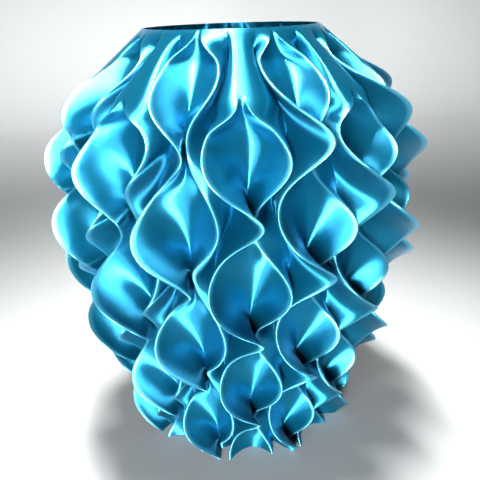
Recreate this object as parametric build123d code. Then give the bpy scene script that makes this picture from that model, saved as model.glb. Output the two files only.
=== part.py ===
from build123d import *
import math
import os

import numpy as np

# Tall ruffled vase printed as one continuous wall. The wall is folded into upright columns of
# cups. Each column has a left and a right fold edge, which swing apart and together again as
# they climb, so that every column is a chain of teardrop cups, and neighbouring columns are
# half a cup out of step. Millimetres, +Z up, origin at the centre of the base.

# ---- Driving dimensions ----
height = 250.0  # base to rim
rim_radius = 49.5  # smooth round mouth
belly_radius = 102.5  # mean radius at the widest level
belly_height = 160.0  # level of the widest mean radius
belly_taper = 19.4  # how far the mean radius draws in, half way down the swell
belly_length = 210.0  # half wave length of the swell
neck_slope = 1.23  # radial run of the shoulder cone for each millimetre of height
shoulder_blend = 8.0  # softness of the turn from belly to shoulder
wall = 1.2  # printed wall, two extrusion lines
floor_thickness = 2.4
columns = 18  # columns of cups round the vase
cup_pitch = 66.5  # height of one cup
top_cup_drop = 48.5  # from the rim down to the widest level of the even columns' top cups
smooth_neck_even = 28.0  # plain neck above the even columns
smooth_neck_odd = 1.0  # plain neck above the odd columns
fold_rise = 13.0  # height over which a fold grows out of the plain neck
head_rise = 30.0  # height over which a fold's edges settle off the cone to their own reach

# Fold edges: leans and swings in column widths, lags in radians, the rest as shares of the mean radius.
arch_lean, arch_width = -0.08, 0.14  # place and width of a fold's arched head
left_lean, left_swing, left_dwell = 0.262, 0.388, 0.09
right_lean, right_swing, right_lag, right_dwell = 0.28, 0.252, 0.30, 0.28
left_reach, left_tuck, left_ripple = 0.108, 0.025, 0.012
right_reach, right_tuck, right_flare, right_ripple = 0.090, 0.0865, 0.031, 0.015
cup_depth, closed_cup_depth, closed_cup_shift = 0.165, 0.02, 0.05
groove_depth, groove_offset, groove_swing, groove_lag = 0.205, 0.55, 0.17, 0.6

# Roundness of the wall between those places.
cup_fullness = 0.40  # level handle at the cup's bottom, as a share of the way to the fold edge
cup_handle_least = 1.5
groove_handle = 2.0  # level handle at the groove's bottom
cup_bow, fin_bow = -0.07, 0.10  # bow of the wall beside a fold edge, as shares of its chord
steep_draw, steep_spread = 0.7, 0.6  # how fast the plain neck drops into a groove beside it
mitre_limit = 10.0  # longest mitre of a fold edge on the inside, in wall thicknesses

# Patches of the two skins.
body_spans = 5  # patches up each strip below the shoulder
span_degree = 7  # degree of a patch upwards
smallest_length = 1e-9

cup_level = height - top_cup_drop
column_angle = 2 * math.pi / columns


def mean_radius(z):
    """Radius that the folds swing about: a swelling belly under a conical shoulder."""
    belly = belly_radius - belly_taper * (1 - np.cos(math.pi * (z - belly_height) / belly_length))
    cone = rim_radius + neck_slope * (height - z)
    return (belly + cone - np.sqrt((belly - cone) ** 2 + shoulder_blend**2)) / 2


def phase(column, z):
    """Zero where the column's cup is widest, pi where its fold edges have crossed."""
    return 2 * math.pi * (z - cup_level) / cup_pitch + math.pi * (column % 2)


def fold_share(column, z, rise=fold_rise):
    """0 on the plain neck, 1 where the folds have their full depth."""
    plain = smooth_neck_odd if column % 2 else smooth_neck_even
    t = np.clip((height - plain - z) / rise, 0, 1)
    return t * t * (3 - 2 * t)


def left_edge(column, z):
    """Angle and radius of a column's left fold edge, seen from outside."""
    p = phase(column, z)
    q = p - left_dwell * np.sin(p)
    angle = column - left_lean - left_swing * np.cos(q)
    reach = 1 - left_tuck * np.cos(p) - left_reach * np.sin(p) - left_ripple * np.sin(2 * p)
    head = fold_share(column, z, head_rise)
    return angle * column_angle, mean_radius(z) * (1 + head * (reach - 1))


def right_edge(column, z):
    """Angle and radius of a column's right fold edge."""
    p = phase(column, z)
    q = p + right_lag
    q = q + right_dwell * np.sin(q)
    angle = column + right_lean + right_swing * np.cos(q)
    reach = 1 - right_tuck + right_flare * np.cos(p) - right_reach * np.sin(p) - right_ripple * np.sin(2 * p)
    head = fold_share(column, z, head_rise)
    return angle * column_angle, mean_radius(z) * (1 + head * (reach - 1))


def cup_centre(column, z):
    """Bottom of the cup, which deepens a little where the fold edges close over it."""
    p = phase(column, z)
    closed = (1 - np.cos(p)) / 2
    angle = column - closed_cup_shift * closed
    return angle * column_angle, mean_radius(z) * (1 - cup_depth - closed_cup_depth * closed)


def groove(column, z):
    """Bottom of the groove between a column and the next one round."""
    p = phase(column, z)
    angle = column + groove_offset + groove_swing * np.cos(p - groove_lag)
    return angle * column_angle, mean_radius(z) * (1 - groove_depth)


def point(place):
    """Plan position of an (angle, radius) pair; angle 0 faces -Y and grows towards +X."""
    angle, radius = place
    return np.stack([radius * np.sin(angle), -radius * np.cos(angle)], -1)


def round_the_vase(place):
    """Unit direction round the vase at a place."""
    return np.stack([np.cos(place[0]), np.sin(place[0])], -1)


def bulged(start, end, near_start, near_end):
    """The two middle control points of a cubic, bowed towards the air by shares of its chord."""
    chord = end - start
    to_air = np.stack([chord[:, 1], -chord[:, 0]], -1)
    return start + chord / 3 + to_air * near_start, end - chord / 3 + to_air * near_end


def arc_controls(start, end, steep):
    """A circular arc as a cubic, whose handle is drawn in at an end where the wall drops off it."""
    handle = (4 / 3 * np.tan((end[0] - start[0]) / 4) * start[1])[:, None]
    first, last = point(start), point(end)
    near_start = handle * (1 - steep_draw * steep[0] + steep_spread * steep[1])[:, None]
    near_end = handle * (1 - steep_draw * steep[1] + steep_spread * steep[0])[:, None]
    return first, first + near_start * round_the_vase(start), last - near_end * round_the_vase(end), last


def column_section(column, z):
    """Four cubics in plan: groove to left edge, into the cup, out of it, and into the next groove."""
    places = [groove(column - 1, z), left_edge(column, z), cup_centre(column, z),
              right_edge(column, z), groove(column, z)]
    start, left, cup, right, end = [point(place) for place in places]
    mean = mean_radius(z)
    left_half, right_half = places[2][0] - places[1][0], places[3][0] - places[2][0]
    left_handle = np.maximum(cup_fullness * mean * left_half, cup_handle_least)[:, None]
    right_handle = np.maximum(cup_fullness * mean * right_half, cup_handle_least)[:, None]
    across = round_the_vase(places[2])
    into_cup = bulged(left, cup, cup_bow, 0)[0]
    out_of_cup = bulged(cup, right, 0, cup_bow)[1]
    left_fin = bulged(start, left, 0, fin_bow)[1]
    right_fin = bulged(right, end, fin_bow, 0)[0]
    folded = [
        (start, start + groove_handle * round_the_vase(places[0]), left_fin, left),
        (left, into_cup, cup - left_handle * across, cup),
        (cup, cup + right_handle * across, out_of_cup, right),
        (right, right_fin, end - groove_handle * round_the_vase(places[4]), end),
    ]
    own = fold_share(column, z)
    shares = [np.maximum(own, fold_share(column - 1, z)), own, own, own,
              np.maximum(own, fold_share(column + 1, z))]
    apex = (column + arch_lean) * column_angle + 0 * z
    arch_half = arch_width * column_angle / 2
    plain_angles = [places[0][0], apex - arch_half, apex, apex + arch_half, places[4][0]]
    section = []
    for i, controls in enumerate(folded):
        steep = shares[i] - own, shares[i + 1] - own
        circle = arc_controls((plain_angles[i], mean), (plain_angles[i + 1], mean), steep)
        mix = [shares[i], own, own, shares[i + 1]]
        blend = [c + m[:, None] * (f - c) for c, f, m in zip(circle, controls, mix)]
        section.append(np.stack(blend, 1))
    return section


def unit(vectors):
    """The same directions with length one, and zero kept as zero."""
    return vectors / np.maximum(np.linalg.norm(vectors, axis=-1, keepdims=True), smallest_length)


def to_air_side(vectors):
    """Plan normals that point out of the wall, for directions that run round the vase."""
    turned = unit(vectors)
    return np.stack([turned[..., 1], -turned[..., 0]], -1)


def inset(sections, distance):
    """The same chain of cubics, moved into the wall by a distance, with mitred fold edges."""
    moved = []
    for i, controls in enumerate(sections):
        before, after = sections[i - 1], sections[(i + 1) % len(sections)]
        first = to_air_side(controls[:, 1] - controls[:, 0])
        last = to_air_side(controls[:, 3] - controls[:, 2])
        middle = to_air_side(controls[:, 3] - controls[:, 0])
        start_pair = unit(first + to_air_side(before[:, 3] - before[:, 2]))
        end_pair = unit(last + to_air_side(after[:, 1] - after[:, 0]))
        start_mitre = 1 / np.maximum((start_pair * first).sum(-1, keepdims=True), 1 / mitre_limit)
        end_mitre = 1 / np.maximum((end_pair * last).sum(-1, keepdims=True), 1 / mitre_limit)
        moved.append(np.stack([
            controls[:, 0] - distance * start_pair * start_mitre,
            controls[:, 1] - distance * unit(2 * first + middle),
            controls[:, 2] - distance * unit(2 * last + middle),
            controls[:, 3] - distance * end_pair * end_mitre,
        ], 1))
    return moved


def bernstein_from_samples(samples, places):
    """Control values of the polynomial that passes through the samples at places from 0 to 1."""
    degree = len(places) - 1
    basis = [[math.comb(degree, i) * t**i * (1 - t) ** (degree - i) for i in range(degree + 1)]
             for t in places]
    flat = np.linalg.solve(np.array(basis), samples.reshape(len(places), -1))
    return flat.reshape(samples.shape)


def skin(inset_by, levels):
    """Faces of one side of the wall, and its plan outlines at the lowest and highest level."""
    places = (1 - np.cos(math.pi * np.arange(span_degree + 1) / span_degree)) / 2
    faces, foot, head = [], [], []
    for low, high in zip(levels, levels[1:]):
        z = low + (high - low) * places
        sections = [cubic for column in range(columns) for cubic in column_section(column, z)]
        if inset_by:
            sections = inset(sections, inset_by)
        rows = [bernstein_from_samples(cubic, places) for cubic in sections]
        rise = np.linspace(low, high, span_degree + 1)
        for i, row in enumerate(rows):
            row[:, 0] = rows[i - 1][:, 3]
        for row in rows:
            grid = [[Vector(x, y, float(level)) for x, y in controls] for controls, level in zip(row, rise)]
            faces.append(Face.make_bezier_surface(grid))
            if low == levels[0]:
                foot.append(Edge.make_bezier(*grid[0]))
            if high == levels[-1]:
                head.append(Edge.make_bezier(*grid[-1]))
    return faces, Wire(foot), Wire(head)


# ---- Build ----
even_neck, odd_neck = height - smooth_neck_even, height - smooth_neck_odd
fold_levels = [even_neck - fold_rise, even_neck, odd_neck - fold_rise, odd_neck]
body_levels = [fold_levels[0] * i / body_spans for i in range(body_spans)]
outer_levels = body_levels + fold_levels + [height]
inner_levels = [floor_thickness] + outer_levels[1:]

outer_faces, base_outline, mouth_outline = skin(0.0, outer_levels)
inner_faces, floor_outline, bore_outline = skin(wall, inner_levels)
base_face = Face(base_outline)
floor_face = Face(floor_outline)
rim_face = Face(mouth_outline, [bore_outline])
shell = Shell(outer_faces + inner_faces + [base_face, floor_face, rim_face])
vase = Solid(shell)

os.makedirs("parts", exist_ok=True)
export_step(vase, "parts/vase_body.step")
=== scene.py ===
"""Ruffled vase: the folded wall of the CAD model as a fine mesh in silk-gloss blue filament."""

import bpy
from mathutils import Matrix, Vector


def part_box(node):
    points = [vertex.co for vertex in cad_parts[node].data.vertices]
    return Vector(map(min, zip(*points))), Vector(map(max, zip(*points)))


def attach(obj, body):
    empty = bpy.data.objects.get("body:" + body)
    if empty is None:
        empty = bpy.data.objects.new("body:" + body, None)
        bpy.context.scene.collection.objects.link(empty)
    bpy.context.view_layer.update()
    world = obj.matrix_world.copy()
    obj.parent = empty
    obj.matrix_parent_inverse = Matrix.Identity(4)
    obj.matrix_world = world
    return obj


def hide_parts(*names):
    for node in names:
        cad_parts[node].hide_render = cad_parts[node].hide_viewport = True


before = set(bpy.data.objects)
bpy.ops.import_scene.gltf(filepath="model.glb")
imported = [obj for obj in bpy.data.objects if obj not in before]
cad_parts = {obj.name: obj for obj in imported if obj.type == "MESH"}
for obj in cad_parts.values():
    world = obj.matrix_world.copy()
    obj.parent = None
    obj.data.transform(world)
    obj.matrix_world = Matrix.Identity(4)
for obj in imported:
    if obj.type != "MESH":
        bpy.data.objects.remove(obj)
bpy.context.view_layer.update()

import math

import bpy
import numpy as np
from mathutils import Matrix, Vector

MM = 0.001
LOW, HIGH = (np.array(corner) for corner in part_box("vase_body"))
HEIGHT = float(HIGH[2] - LOW[2]) / MM

# ---- The vase's own dimensions, in millimetres, as the CAD model has them ----
RIM_RADIUS = 49.5       # smooth round mouth
BELLY_RADIUS = 102.5    # mean radius at the widest level
BELLY_HEIGHT = 160.0    # level of the widest mean radius
BELLY_TAPER = 19.4      # how far the mean radius draws in, half way down the swell
BELLY_LENGTH = 210.0    # half wave length of the swell
NECK_SLOPE = 1.23       # radial run of the shoulder cone for each millimetre of height
SHOULDER_BLEND = 8.0    # softness of the turn from belly to shoulder
WALL = 1.2              # printed wall, two extrusion lines
FLOOR_THICKNESS = 2.4
COLUMNS = 18            # columns of cups round the vase
CUP_PITCH = 66.5        # height of one cup
TOP_CUP_DROP = 48.5     # from the rim down to the widest level of the even columns' top cups
SMOOTH_NECK_EVEN = 28.0  # plain neck above the even columns
SMOOTH_NECK_ODD = 1.0   # plain neck above the odd columns
FOLD_RISE = 13.0        # height over which a fold grows out of the plain neck
HEAD_RISE = 30.0        # height over which a fold's edges settle off the cone to their own reach

# shape of a fold: angles are shares of a column's, reaches are shares of the mean radius
ARCH_LEAN, ARCH_WIDTH = -0.08, 0.14  # place and width of a fold's arched head
LEFT_LEAN, LEFT_SWING, LEFT_DWELL = 0.262, 0.388, 0.09
RIGHT_LEAN, RIGHT_SWING, RIGHT_LAG, RIGHT_DWELL = 0.28, 0.252, 0.30, 0.28
LEFT_REACH, LEFT_TUCK, LEFT_RIPPLE = 0.108, 0.025, 0.012
RIGHT_REACH, RIGHT_TUCK, RIGHT_FLARE, RIGHT_RIPPLE = 0.090, 0.0865, 0.031, 0.015
CUP_DEPTH, CLOSED_CUP_DEPTH, CLOSED_CUP_SHIFT = 0.165, 0.02, 0.05
GROOVE_DEPTH, GROOVE_OFFSET, GROOVE_SWING, GROOVE_LAG = 0.205, 0.55, 0.17, 0.6

# fullness of the curves between the fold edges
CUP_FULLNESS = 0.40     # level handle at the cup's bottom, as a share of the way to the fold edge
CUP_HANDLE_LEAST = 1.5
GROOVE_HANDLE = 2.0     # level handle at the groove's bottom
CUP_BOW, FIN_BOW = -0.07, 0.10  # bow of the wall beside a fold edge, as shares of its chord
STEEP_DRAW, STEEP_SPREAD = 0.7, 0.6  # how fast the plain neck drops into a groove beside it
MITRE_LIMIT = 10.0      # longest mitre of a fold edge on the inside, in wall thicknesses

COLUMN_ANGLE = 2 * math.pi / COLUMNS
CUP_LEVEL = HEIGHT - TOP_CUP_DROP
SMALLEST_LENGTH = 1e-9

# ---- Mesh ----
BEAD = 0.6              # radius of the bead that a fold edge prints as, half the wall
BEAD_STEPS = 4
BEAD_MITRE = 1.6        # how far, in bead radii, a fold edge is drawn in to make room for its bead
OUTER_ROWS, INNER_ROWS = 120, 56
OUTER_STEPS, INNER_STEPS = [7, 8, 7, 7], [4, 4, 4, 4]  # mesh steps along each of a column's four cubics
EDGE_CROWDING = 0.25    # how much closer the mesh lines stand near fold edges
SHARP_ANGLE = math.radians(50)  # the rim and the foot stay crisp

# ---- Camera ----
EYE_BEARING = -4.09     # degrees round the vase from straight in front
EYE_DISTANCE = 0.3249   # level distance from the vase's middle, in metres
EYE_HEIGHT = 0.2605     # in metres
LENS = 40.8             # focal length and sensor width, in millimetres
SENSOR_WIDTH = 36
LOOK_RIGHT, LOOK_DOWN, ROLL = 0.19, 23.42, -1.975  # degrees

# ---- Filament ----
LAYER_HEIGHT = 0.0003   # one printed layer, in metres
SHADE_BLUE, FULL_BLUE = (0.002, 0.116, 0.210, 1), (0.004, 0.155, 0.268, 1)
# painted highlight: a lighter blue painted on the fold-edge beads to stand in for light on their tight curve
FOLD_EDGE_PAINTED_HIGHLIGHT = (0.07, 0.36, 0.50, 1)
PATCH_SCALE, PATCH_DETAIL = 9, 3  # broad patches of deeper and fuller blue
PATCH_FROM, PATCH_TO = 0.3, 0.7  # noise values that are all shade and all full blue
LAYER_STRETCH, LAYER_DETAIL = (6, 6, 1800), 2  # noise that changes from layer to layer and hardly along one
SILK_METALLIC, SILK_SPECULAR = 0.86, 1.0
SILK_ANISOTROPY, STREAKS_UPRIGHT = 1.0, 0.25  # a quarter turn makes the highlights run up the wall
SMOOTHEST, ROUGHEST = 0.35, 0.43  # roughness from one layer to another
LAYER_NOISE_SHARE = 0.5  # of the noise, beside the even wave
WAVE_FACTOR = 20        # the wave texture multiplies its place by this
LAYER_BUMP, LAYER_RELIEF = 0.25, 0.00006  # strength, and depth in metres

# ---- Stage ----
STAGE_FRONT, STAGE_BACK, STAGE_BEND, STAGE_TOP, STAGE_HALF = -1.6, 1.25, 0.35, 2.2, 1.6  # metres
BEND_STEPS = 12
STAGE_COLOUR, STAGE_ROUGHNESS = (0.16, 0.165, 0.165, 1), 0.8

# ---- Lights ----
LIT_POINT = (0, 0, 0.13)
WHITE = (1, 1, 1)
OPEN, NARROW, BACKDROP_ONLY = 180, 40, 80  # spread of a lamp's beam, in degrees
ROOM_COLOUR = (0.85, 0.93, 0.95, 1)
ROOM_LEFT, ROOM_RIGHT = 0.16, 0.02  # strength of the room's light from each side
ROOM_FADE = 0.6         # how far either side of straight ahead the fade reaches


# ======================= shape =======================

def mean_radius(z):
    """Radius that the folds swing about: a swelling belly under a conical shoulder."""
    belly = BELLY_RADIUS - BELLY_TAPER * (1 - np.cos(math.pi * (z - BELLY_HEIGHT) / BELLY_LENGTH))
    cone = RIM_RADIUS + NECK_SLOPE * (HEIGHT - z)
    return (belly + cone - np.sqrt((belly - cone) ** 2 + SHOULDER_BLEND**2)) / 2


def phase(column, z):
    """Zero where the column's cup is widest, pi where its fold edges have crossed."""
    return 2 * math.pi * (z - CUP_LEVEL) / CUP_PITCH + math.pi * (column % 2)


def fold_share(column, z, rise=FOLD_RISE):
    """0 on the plain neck, 1 where the folds have their full depth."""
    plain = SMOOTH_NECK_ODD if column % 2 else SMOOTH_NECK_EVEN
    t = np.clip((HEIGHT - plain - z) / rise, 0, 1)
    return t * t * (3 - 2 * t)


def left_edge(column, z):
    p = phase(column, z)
    q = p - LEFT_DWELL * np.sin(p)
    angle = column - LEFT_LEAN - LEFT_SWING * np.cos(q)
    reach = 1 - LEFT_TUCK * np.cos(p) - LEFT_REACH * np.sin(p) - LEFT_RIPPLE * np.sin(2 * p)
    head = fold_share(column, z, HEAD_RISE)
    return angle * COLUMN_ANGLE, mean_radius(z) * (1 + head * (reach - 1))


def right_edge(column, z):
    p = phase(column, z)
    q = p + RIGHT_LAG
    q = q + RIGHT_DWELL * np.sin(q)
    angle = column + RIGHT_LEAN + RIGHT_SWING * np.cos(q)
    reach = 1 - RIGHT_TUCK + RIGHT_FLARE * np.cos(p) - RIGHT_REACH * np.sin(p) - RIGHT_RIPPLE * np.sin(2 * p)
    head = fold_share(column, z, HEAD_RISE)
    return angle * COLUMN_ANGLE, mean_radius(z) * (1 + head * (reach - 1))


def cup_centre(column, z):
    p = phase(column, z)
    closed = (1 - np.cos(p)) / 2
    angle = column - CLOSED_CUP_SHIFT * closed
    return angle * COLUMN_ANGLE, mean_radius(z) * (1 - CUP_DEPTH - CLOSED_CUP_DEPTH * closed)


def groove(column, z):
    """Bottom of the groove between a column and the next one round."""
    p = phase(column, z)
    angle = column + GROOVE_OFFSET + GROOVE_SWING * np.cos(p - GROOVE_LAG)
    return angle * COLUMN_ANGLE, mean_radius(z) * (1 - GROOVE_DEPTH)


def point(place):
    """Plan position of an (angle, radius) pair; angle 0 faces -Y and grows towards +X."""
    angle, radius = place
    return np.stack([radius * np.sin(angle), -radius * np.cos(angle)], -1)


def round_the_vase(place):
    return np.stack([np.cos(place[0]), np.sin(place[0])], -1)


def bulged(start, end, near_start, near_end):
    """The two middle control points of a cubic, bowed towards the air by shares of its chord."""
    chord = end - start
    to_air = np.stack([chord[:, 1], -chord[:, 0]], -1)
    return start + chord / 3 + to_air * near_start, end - chord / 3 + to_air * near_end


def arc_controls(start, end, steep):
    """A circular arc as a cubic; a steep end has its handles drawn in, so the wall drops off the arc fast."""
    handle = (4 / 3 * np.tan((end[0] - start[0]) / 4) * start[1])[:, None]
    first, last = point(start), point(end)
    near_start = handle * (1 - STEEP_DRAW * steep[0] + STEEP_SPREAD * steep[1])[:, None]
    near_end = handle * (1 - STEEP_DRAW * steep[1] + STEEP_SPREAD * steep[0])[:, None]
    return first, first + near_start * round_the_vase(start), last - near_end * round_the_vase(end), last


def column_section(column, z):
    """Four cubics in plan: groove to left edge, into the cup, out of it, and into the next groove."""
    places = [groove(column - 1, z), left_edge(column, z), cup_centre(column, z),
              right_edge(column, z), groove(column, z)]
    start, left, cup, right, end = [point(place) for place in places]
    mean = mean_radius(z)
    left_half, right_half = places[2][0] - places[1][0], places[3][0] - places[2][0]
    left_handle = np.maximum(CUP_FULLNESS * mean * left_half, CUP_HANDLE_LEAST)[:, None]
    right_handle = np.maximum(CUP_FULLNESS * mean * right_half, CUP_HANDLE_LEAST)[:, None]
    across = round_the_vase(places[2])
    into_cup = bulged(left, cup, CUP_BOW, 0)[0]
    out_of_cup = bulged(cup, right, 0, CUP_BOW)[1]
    left_fin = bulged(start, left, 0, FIN_BOW)[1]
    right_fin = bulged(right, end, FIN_BOW, 0)[0]
    folded = [
        (start, start + GROOVE_HANDLE * round_the_vase(places[0]), left_fin, left),
        (left, into_cup, cup - left_handle * across, cup),
        (cup, cup + right_handle * across, out_of_cup, right),
        (right, right_fin, end - GROOVE_HANDLE * round_the_vase(places[4]), end),
    ]
    own = fold_share(column, z)
    shares = [np.maximum(own, fold_share(column - 1, z)), own, own, own,
              np.maximum(own, fold_share(column + 1, z))]
    apex = (column + ARCH_LEAN) * COLUMN_ANGLE + 0 * z
    arch_half = ARCH_WIDTH * COLUMN_ANGLE / 2
    plain_angles = [places[0][0], apex - arch_half, apex, apex + arch_half, places[4][0]]
    section = []
    for i, controls in enumerate(folded):
        steep = shares[i] - own, shares[i + 1] - own
        circle = arc_controls((plain_angles[i], mean), (plain_angles[i + 1], mean), steep)
        mix = [shares[i], own, own, shares[i + 1]]
        blend = [c + m[:, None] * (f - c) for c, f, m in zip(circle, controls, mix)]
        section.append(np.stack(blend, 1))
    return section


def unit(vectors):
    return vectors / np.maximum(np.linalg.norm(vectors, axis=-1, keepdims=True), SMALLEST_LENGTH)


def to_air_side(vectors):
    turned = unit(vectors)
    return np.stack([turned[..., 1], -turned[..., 0]], -1)


def inset(sections, distance, mitre_limit=MITRE_LIMIT):
    """The same chain of cubics, moved into the wall by a distance, with mitred fold edges."""
    moved = []
    for i, controls in enumerate(sections):
        before, after = sections[i - 1], sections[(i + 1) % len(sections)]
        first = to_air_side(controls[:, 1] - controls[:, 0])
        last = to_air_side(controls[:, 3] - controls[:, 2])
        middle = to_air_side(controls[:, 3] - controls[:, 0])
        start_pair = unit(first + to_air_side(before[:, 3] - before[:, 2]))
        end_pair = unit(last + to_air_side(after[:, 1] - after[:, 0]))
        start_mitre = 1 / np.maximum((start_pair * first).sum(-1, keepdims=True), 1 / mitre_limit)
        end_mitre = 1 / np.maximum((end_pair * last).sum(-1, keepdims=True), 1 / mitre_limit)
        moved.append(np.stack([
            controls[:, 0] - distance * start_pair * start_mitre,
            controls[:, 1] - distance * unit(2 * first + middle),
            controls[:, 2] - distance * unit(2 * last + middle),
            controls[:, 3] - distance * end_pair * end_mitre,
        ], 1))
    return moved


def along(controls, t):
    """Points of a cubic, shape (steps, levels, 2)."""
    t = t[:, None, None]
    a, b, c, d = (controls[None, :, i] for i in range(4))
    return (1 - t) ** 3 * a + 3 * t * (1 - t) ** 2 * b + 3 * t * t * (1 - t) * c + t**3 * d


def along_normals(controls, t):
    """Plan normals, out of the wall, at the same points."""
    t = t[:, None, None]
    a, b, c = (controls[None, :, i + 1] - controls[None, :, i] for i in range(3))
    return to_air_side((1 - t) ** 2 * a + 2 * t * (1 - t) * b + t * t * c)


def rounded_outline(levels, steps):
    """The wall's outer outline at every level with each fold edge a round bead, and where the beads are."""
    sections = [c for k in range(COLUMNS) for c in column_section(k, levels)]
    skin = inset(sections, BEAD, mitre_limit=BEAD_MITRE)
    rows, on_bead = [], []
    for i, (controls, after) in enumerate(zip(skin, skin[1:] + skin[:1])):
        count = steps[i % len(steps)]
        t = np.linspace(0, 1, count + 1)
        t = t - EDGE_CROWDING * np.sin(2 * math.pi * t) / (2 * math.pi)
        places, normals = along(controls, t), along_normals(controls, t)
        share = fold_share(i // len(steps), levels)
        starts_at_edge, ends_at_edge = i % 2 == 1, i % 2 == 0
        rows.append(places[:-1] + BEAD * normals[:-1])
        on_bead.append(np.stack([share * (starts_at_edge and k == 0) for k in range(count)]))
        if ends_at_edge:
            next_normal = along_normals(after, np.array([0.0]))[0]
            rows.append(round_join(places[-1], normals[-1], next_normal))
            on_bead.append(np.stack([share] * BEAD_STEPS))
    return np.concatenate(rows), np.concatenate(on_bead)


def round_join(place, before, after):
    """Points of the bead round a fold edge, from one side's normal to the other's."""
    turn = np.arctan2(before[:, 0] * after[:, 1] - before[:, 1] * after[:, 0], (before * after).sum(-1))
    start = np.arctan2(before[:, 1], before[:, 0])
    angles = [start + turn * k / BEAD_STEPS for k in range(BEAD_STEPS)]
    return np.stack([place + BEAD * np.stack([np.cos(a), np.sin(a)], -1) for a in angles])


def outline(sections, steps):
    """The whole wall outline at every level, shape (points, levels, 2)."""
    return np.concatenate([along(c, np.linspace(0, 1, n + 1)[:-1]) for c, n in zip(sections, steps)])


def skin_faces(start, around, rows, inwards):
    """Quads of a closed skin whose vertices are numbered up each line and then round."""
    i, j = np.meshgrid(np.arange(around), np.arange(rows - 1), indexing="ij")
    a = start + i * rows + j
    b = start + (i + 1) % around * rows + j
    quads = np.stack([a, b, b + 1, a + 1], -1).reshape(-1, 4)
    return [tuple(q) for q in (quads[:, ::-1] if inwards else quads).tolist()]


def ring_faces(outer, inner):
    """Triangles between two rings with different numbers of vertices."""
    faces, i, j = [], 0, 0
    while i < len(outer) or j < len(inner):
        here_out, here_in = outer[i % len(outer)], inner[j % len(inner)]
        if j >= len(inner) or (i < len(outer) and (i + 1) / len(outer) <= (j + 1) / len(inner)):
            i += 1
            faces.append((here_out, outer[i % len(outer)], here_in))
        else:
            j += 1
            faces.append((here_out, inner[j % len(inner)], here_in))
    return faces


def vase_mesh():
    """Outer skin with beaded fold edges, smooth inner skin, flat rim, base and floor."""
    outer_z = np.linspace(0, HEIGHT, OUTER_ROWS)
    inner_z = np.linspace(FLOOR_THICKNESS, HEIGHT, INNER_ROWS)
    outer, on_bead = rounded_outline(outer_z, OUTER_STEPS)
    inner_sections = [c for k in range(COLUMNS) for c in column_section(k, inner_z)]
    inner = outline(inset(inner_sections, WALL), INNER_STEPS * COLUMNS)
    corners = []
    for points, levels in ((outer, outer_z), (inner, inner_z)):
        z = np.broadcast_to(levels, points.shape[:2])[..., None]
        corners.append(np.concatenate([points, z], -1).reshape(-1, 3) * MM)
    start = len(corners[0])
    outer_feet = np.arange(len(outer)) * OUTER_ROWS
    inner_feet = start + np.arange(len(inner)) * INNER_ROWS
    faces = skin_faces(0, len(outer), OUTER_ROWS, False)
    faces += skin_faces(start, len(inner), INNER_ROWS, True)
    faces += ring_faces((outer_feet + OUTER_ROWS - 1).tolist(), (inner_feet + INNER_ROWS - 1).tolist())
    faces += [tuple(outer_feet[::-1].tolist()), tuple(inner_feet.tolist())]

    mesh = bpy.data.meshes.new("vase_wall")
    mesh.from_pydata(np.concatenate(corners).tolist(), [], faces)
    # mask of the fold-edge beads that get the painted highlight
    marks = mesh.attributes.new("fold_edge_highlight_mask", "FLOAT", "POINT")
    values = np.concatenate([on_bead.reshape(-1), np.zeros(len(corners[1]))])
    marks.data.foreach_set("value", values.astype(np.float32))
    mesh.update()
    mesh.shade_smooth()
    mesh.set_sharp_from_angle(angle=SHARP_ANGLE)
    return mesh


# ======================= material =======================

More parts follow.
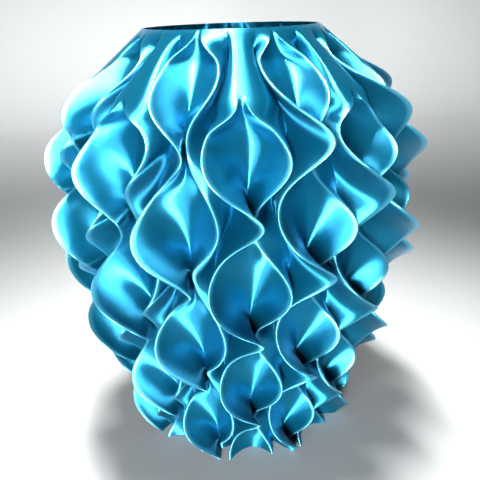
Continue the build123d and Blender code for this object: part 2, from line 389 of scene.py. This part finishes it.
def silk_filament():
    """Silk blue filament: deep blue in shade, glossy where it faces the light, with a painted highlight of
    lighter blue on the fold-edge beads, and fine layer lines.
    """
    material = bpy.data.materials.new("silk_blue_filament")
    material.use_nodes = True
    nodes, links = material.node_tree.nodes, material.node_tree.links
    shader = nodes["Principled BSDF"]
    shader.inputs["Metallic"].default_value = SILK_METALLIC
    shader.inputs["Anisotropic"].default_value = SILK_ANISOTROPY
    shader.inputs["Anisotropic Rotation"].default_value = STREAKS_UPRIGHT
    shader.inputs["Specular IOR Level"].default_value = SILK_SPECULAR
    tangent = nodes.new("ShaderNodeTangent")
    tangent.direction_type = "RADIAL"
    tangent.axis = "Z"
    links.new(tangent.outputs["Tangent"], shader.inputs["Tangent"])
    place = nodes.new("ShaderNodeTexCoord")

    def noise(name, scale, stretch, detail):
        mapping = nodes.new("ShaderNodeMapping")
        mapping.inputs["Scale"].default_value = stretch
        links.new(place.outputs["Object"], mapping.inputs["Vector"])
        node = nodes.new("ShaderNodeTexNoise")
        node.name = name
        node.inputs["Scale"].default_value = scale
        node.inputs["Detail"].default_value = detail
        links.new(mapping.outputs["Vector"], node.inputs["Vector"])
        return node.outputs["Fac"]

    patches = noise("broad_patches", PATCH_SCALE, (1, 1, 1), PATCH_DETAIL)
    layers = noise("layer_to_layer", 1, LAYER_STRETCH, LAYER_DETAIL)

    colour = nodes.new("ShaderNodeValToRGB")
    colour.color_ramp.elements[0].position = PATCH_FROM
    colour.color_ramp.elements[0].color = SHADE_BLUE
    colour.color_ramp.elements[1].position = PATCH_TO
    colour.color_ramp.elements[1].color = FULL_BLUE
    links.new(patches, colour.inputs["Fac"])
    # painted highlight: the fold-edge beads are mixed towards a lighter blue
    edge = nodes.new("ShaderNodeAttribute")
    edge.attribute_name = "fold_edge_highlight_mask"
    painted_edge_highlight = nodes.new("ShaderNodeMix")
    painted_edge_highlight.data_type = "RGBA"
    painted_edge_highlight.inputs["B"].default_value = FOLD_EDGE_PAINTED_HIGHLIGHT
    links.new(edge.outputs["Fac"], painted_edge_highlight.inputs["Factor"])
    links.new(colour.outputs["Color"], painted_edge_highlight.inputs["A"])
    links.new(painted_edge_highlight.outputs["Result"], shader.inputs["Base Color"])

    roughness = nodes.new("ShaderNodeMapRange")
    roughness.inputs["To Min"].default_value = SMOOTHEST
    roughness.inputs["To Max"].default_value = ROUGHEST
    links.new(layers, roughness.inputs["Value"])
    links.new(roughness.outputs["Result"], shader.inputs["Roughness"])

    wave = nodes.new("ShaderNodeTexWave")
    wave.wave_type = "BANDS"
    wave.bands_direction = "Z"
    wave.inputs["Scale"].default_value = 1 / (WAVE_FACTOR * LAYER_HEIGHT) * 2 * math.pi
    wave.inputs["Distortion"].default_value = 0.0
    links.new(place.outputs["Object"], wave.inputs["Vector"])
    height = nodes.new("ShaderNodeMath")
    height.operation = "MULTIPLY_ADD"
    height.inputs[1].default_value = LAYER_NOISE_SHARE
    links.new(layers, height.inputs[0])
    links.new(wave.outputs["Fac"], height.inputs[2])
    bump = nodes.new("ShaderNodeBump")
    bump.inputs["Strength"].default_value = LAYER_BUMP
    bump.inputs["Distance"].default_value = LAYER_RELIEF
    links.new(height.outputs["Value"], bump.inputs["Height"])
    links.new(bump.outputs["Normal"], shader.inputs["Normal"])
    return material


# ======================= scene =======================

def add_object(name, mesh, material):
    piece = bpy.data.objects.new(name, mesh)
    bpy.context.scene.collection.objects.link(piece)
    mesh.materials.append(material)
    return piece


def add_area(name, place, target, size, energy, colour, spread):
    data = bpy.data.lights.new(name, "AREA")
    data.shape = "RECTANGLE"
    data.size, data.size_y = size
    data.energy = energy
    data.color = colour
    data.spread = math.radians(spread)
    lamp = bpy.data.objects.new(name, data)
    lamp.location = place
    lamp.rotation_euler = (Vector(target) - Vector(place)).to_track_quat("-Z", "Y").to_euler()
    bpy.context.scene.collection.objects.link(lamp)


def add_camera():
    data = bpy.data.cameras.new("camera")
    data.lens = LENS
    data.sensor_width = SENSOR_WIDTH
    data.dof.use_dof = False
    camera = bpy.data.objects.new("camera", data)
    bearing = math.radians(EYE_BEARING)
    eye = Vector((EYE_DISTANCE * math.sin(bearing), -EYE_DISTANCE * math.cos(bearing), EYE_HEIGHT))
    turn = Matrix.Rotation(bearing - math.radians(LOOK_RIGHT), 4, "Z")
    tilt = Matrix.Rotation(math.radians(90 - LOOK_DOWN), 4, "X")
    roll = Matrix.Rotation(math.radians(ROLL), 4, "Z")
    camera.matrix_world = Matrix.Translation(eye) @ turn @ tilt @ roll
    bpy.context.scene.collection.objects.link(camera)
    bpy.context.scene.camera = camera


def plain(name, colour, roughness):
    material = bpy.data.materials.new(name)
    material.use_nodes = True
    shader = material.node_tree.nodes["Principled BSDF"]
    shader.inputs["Base Color"].default_value = colour
    shader.inputs["Roughness"].default_value = roughness
    return material


def add_stage():
    """A pale floor that sweeps up behind the vase."""
    bend_start = STAGE_BACK - STAGE_BEND
    profile = [(STAGE_FRONT, 0.0), (bend_start, 0.0)]
    for i in range(1, BEND_STEPS + 1):
        a = math.pi / 2 * i / BEND_STEPS
        profile.append((bend_start + STAGE_BEND * math.sin(a), STAGE_BEND - STAGE_BEND * math.cos(a)))
    profile.append((STAGE_BACK, STAGE_TOP))
    vertices = [(x, y, z) for y, z in profile for x in (-STAGE_HALF, STAGE_HALF)]
    faces = [(2 * i, 2 * i + 1, 2 * i + 3, 2 * i + 2) for i in range(len(profile) - 1)]
    mesh = bpy.data.meshes.new("studio_sweep")
    mesh.from_pydata(vertices, [], faces)
    mesh.shade_smooth()
    add_object("studio_sweep", mesh, plain("pale_sweep", STAGE_COLOUR, STAGE_ROUGHNESS))


def round_at(bearing, distance, height):
    """A place by its bearing from the camera's, in degrees, and its level distance and height in metres."""
    a = math.radians(bearing + EYE_BEARING)
    return (distance * math.sin(a), -distance * math.cos(a), height)


def add_lights():
    """A tall narrow key and a broad one left of the camera, one overhead, and one for the backdrop."""
    lamps = [
        # name, place, aim, size, watts, colour, spread
        ("key_strip", round_at(-8, 1.3, 0.30), LIT_POINT, (0.12, 0.5), 78, WHITE, OPEN),
        ("key_top", (-0.07, 0.10, 1.30), (-0.01, -0.05, 0.2), (0.16, 0.5), 8, WHITE, NARROW),
        ("key_side", round_at(-26, 1.3, 0.30), LIT_POINT, (0.42, 0.5), 15, (0.97, 1, 1), OPEN),
        ("front_fill", round_at(35, 1.4, 0.4), LIT_POINT, (0.7, 0.7), 0.2, (0.95, 1, 1), OPEN),
        ("wall_wash", (0, 0.45, 1.7), (0, 1.25, 0.5), (1.6, 0.3), 38, WHITE, BACKDROP_ONLY),
    ]
    for name, place, aim, size, watts, colour, spread in lamps:
        add_area(name, place, aim, size, watts, colour, spread)
    world = bpy.data.worlds.new("studio")
    bpy.context.scene.world = world
    world.use_nodes = True
    nodes, links = world.node_tree.nodes, world.node_tree.links
    direction = nodes.new("ShaderNodeTexCoord")
    across = nodes.new("ShaderNodeSeparateXYZ")
    links.new(direction.outputs["Generated"], across.inputs["Vector"])
    strength = nodes.new("ShaderNodeMapRange")
    strength.inputs["From Min"].default_value = -ROOM_FADE
    strength.inputs["From Max"].default_value = ROOM_FADE
    strength.inputs["To Min"].default_value = ROOM_LEFT
    strength.inputs["To Max"].default_value = ROOM_RIGHT
    links.new(across.outputs["X"], strength.inputs["Value"])
    links.new(strength.outputs["Result"], nodes["Background"].inputs["Strength"])
    nodes["Background"].inputs["Color"].default_value = ROOM_COLOUR


add_camera()
vase = add_object("ruffled_vase", vase_mesh(), silk_filament())
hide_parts("vase_body")
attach(vase, "root")
add_stage()
add_lights()
bpy.context.scene.view_settings.view_transform = "Standard"
